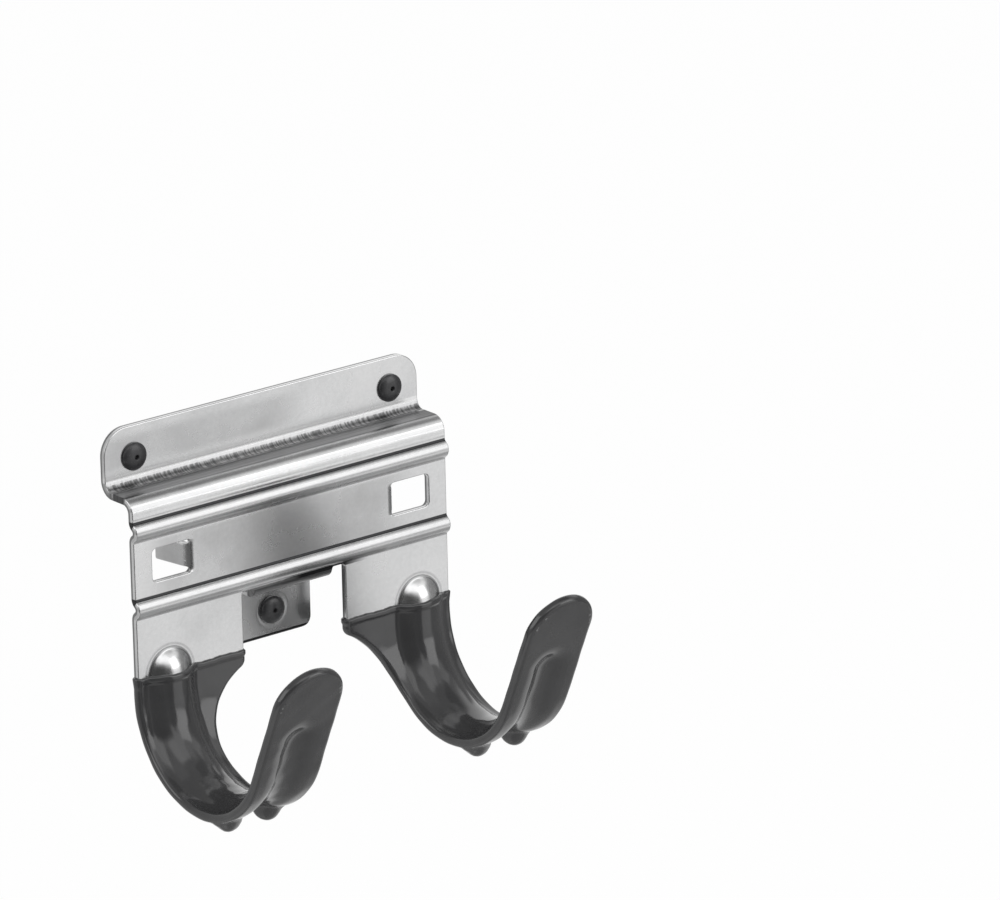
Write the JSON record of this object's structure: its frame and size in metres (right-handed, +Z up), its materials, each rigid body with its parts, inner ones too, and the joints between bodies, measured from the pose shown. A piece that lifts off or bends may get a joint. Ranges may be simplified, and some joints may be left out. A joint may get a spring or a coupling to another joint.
{
  "type": "wall hook",
  "caption": "Wall bracket of pressed steel sheet with coated, ribbed J-shaped hooks, windows with bent wall feet, and moulded bushes in its screw holes.",
  "frame": {"origin": "on the wall plane, midway between the two upper screw holes", "axes": "+X to the right for someone facing the wall, +Y into the wall, +Z up"},
  "size_m": [0.1014, 0.0755, 0.0963],
  "materials": {
    "zinc_plated_steel": "bright zinc plating with faint drawing streaks",
    "dipped_coating": "smooth satin dark grey dipped vinyl",
    "moulded_bush": "satin dark grey moulding"
  },
  "bodies": {
    "root": {"bracket": "zinc_plated_steel", "left_hook_coating": "dipped_coating", "right_hook_coating": "dipped_coating", "upper_left_bush": "moulded_bush", "upper_right_bush": "moulded_bush", "lower_bush": "moulded_bush"}
  },
  "joints": []
}
